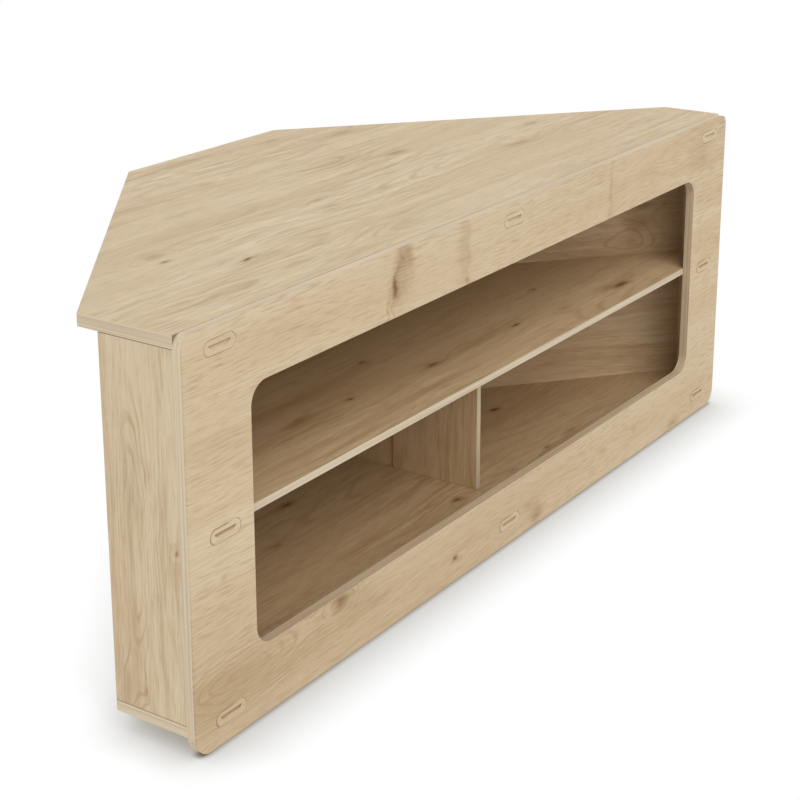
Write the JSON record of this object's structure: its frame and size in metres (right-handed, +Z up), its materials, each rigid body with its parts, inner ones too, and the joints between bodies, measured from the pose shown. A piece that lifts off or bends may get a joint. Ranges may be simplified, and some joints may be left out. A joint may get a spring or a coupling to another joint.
{
  "type": "corner tv cabinet",
  "caption": "Corner TV cabinet in light oak laminate with slanting rear sides, a front frame with a rounded opening, an open inside with shelf and divider, and oval caps.",
  "frame": {"origin": "on the floor, at the middle of the cabinet's width and depth", "axes": "+X to the right as seen from the front, +Y to the rear, so the front frame faces -Y, and +Z up"},
  "size_m": [1.22, 0.49, 0.453],
  "materials": {
    "oak_board": "satin oak laminate",
    "oak_inner_board": "satin oak laminate",
    "oak_cap": "printed oak",
    "steel_screw": "zinc plated",
    "beech_dowel": "raw",
    "foot_plastic": "matt"
  },
  "bodies": {
    "root": {"front_frame": "oak_board", "top_panel": "oak_board", "bottom_panel": "oak_board", "shelf": "oak_inner_board", "left_side_panel": "oak_board", "right_side_panel": "oak_board", "left_back_panel": "oak_inner_board", "right_back_panel": "oak_inner_board", "rear_centre_panel": "oak_inner_board", "top_front_rail": "oak_inner_board", "centre_divider": "oak_inner_board", "rear_divider": "oak_inner_board", "cap_top_left": "oak_cap", "cap_top_middle": "oak_cap", "cap_top_right": "oak_cap", "cap_bottom_left": "oak_cap", "cap_bottom_middle": "oak_cap", "cap_bottom_right": "oak_cap", "cap_shelf_left": "oak_cap", "cap_shelf_right": "oak_cap", "frame_screw_top_left": "steel_screw", "frame_screw_top_middle": "steel_screw", "frame_screw_top_right": "steel_screw", "frame_screw_bottom_left": "steel_screw", "frame_screw_bottom_middle": "steel_screw", "frame_screw_bottom_right": "steel_screw", "frame_screw_shelf_left": "steel_screw", "frame_screw_shelf_right": "steel_screw", "side_screw_left_front": "steel_screw", "side_screw_left_rear": "steel_screw", "side_screw_right_front": "steel_screw", "side_screw_right_rear": "steel_screw", "top_dowel_left_front": "beech_dowel", "top_dowel_left_rear": "beech_dowel", "top_dowel_right_front": "beech_dowel", "top_dowel_right_rear": "beech_dowel", "shelf_dowel_left_front": "beech_dowel", "shelf_dowel_left_rear": "beech_dowel", "shelf_dowel_right_front": "beech_dowel", "shelf_dowel_right_rear": "beech_dowel", "back_screw_left_front": "steel_screw", "back_screw_left_rear": "steel_screw", "back_screw_right_front": "steel_screw", "back_screw_right_rear": "steel_screw", "back_screw_centre": "steel_screw", "base_screw_left_back": "steel_screw", "base_screw_right_back": "steel_screw", "base_screw_rear_back": "steel_screw", "divider_screw_front": "steel_screw", "divider_screw_rear": "steel_screw", "rear_divider_screw": "steel_screw", "foot_left_front": "foot_plastic", "foot_left_rear": "foot_plastic", "foot_right_front": "foot_plastic", "foot_right_rear": "foot_plastic", "foot_screw_left_front": "steel_screw", "foot_screw_left_rear": "steel_screw", "foot_screw_right_front": "steel_screw", "foot_screw_right_rear": "steel_screw"}
  },
  "joints": []
}
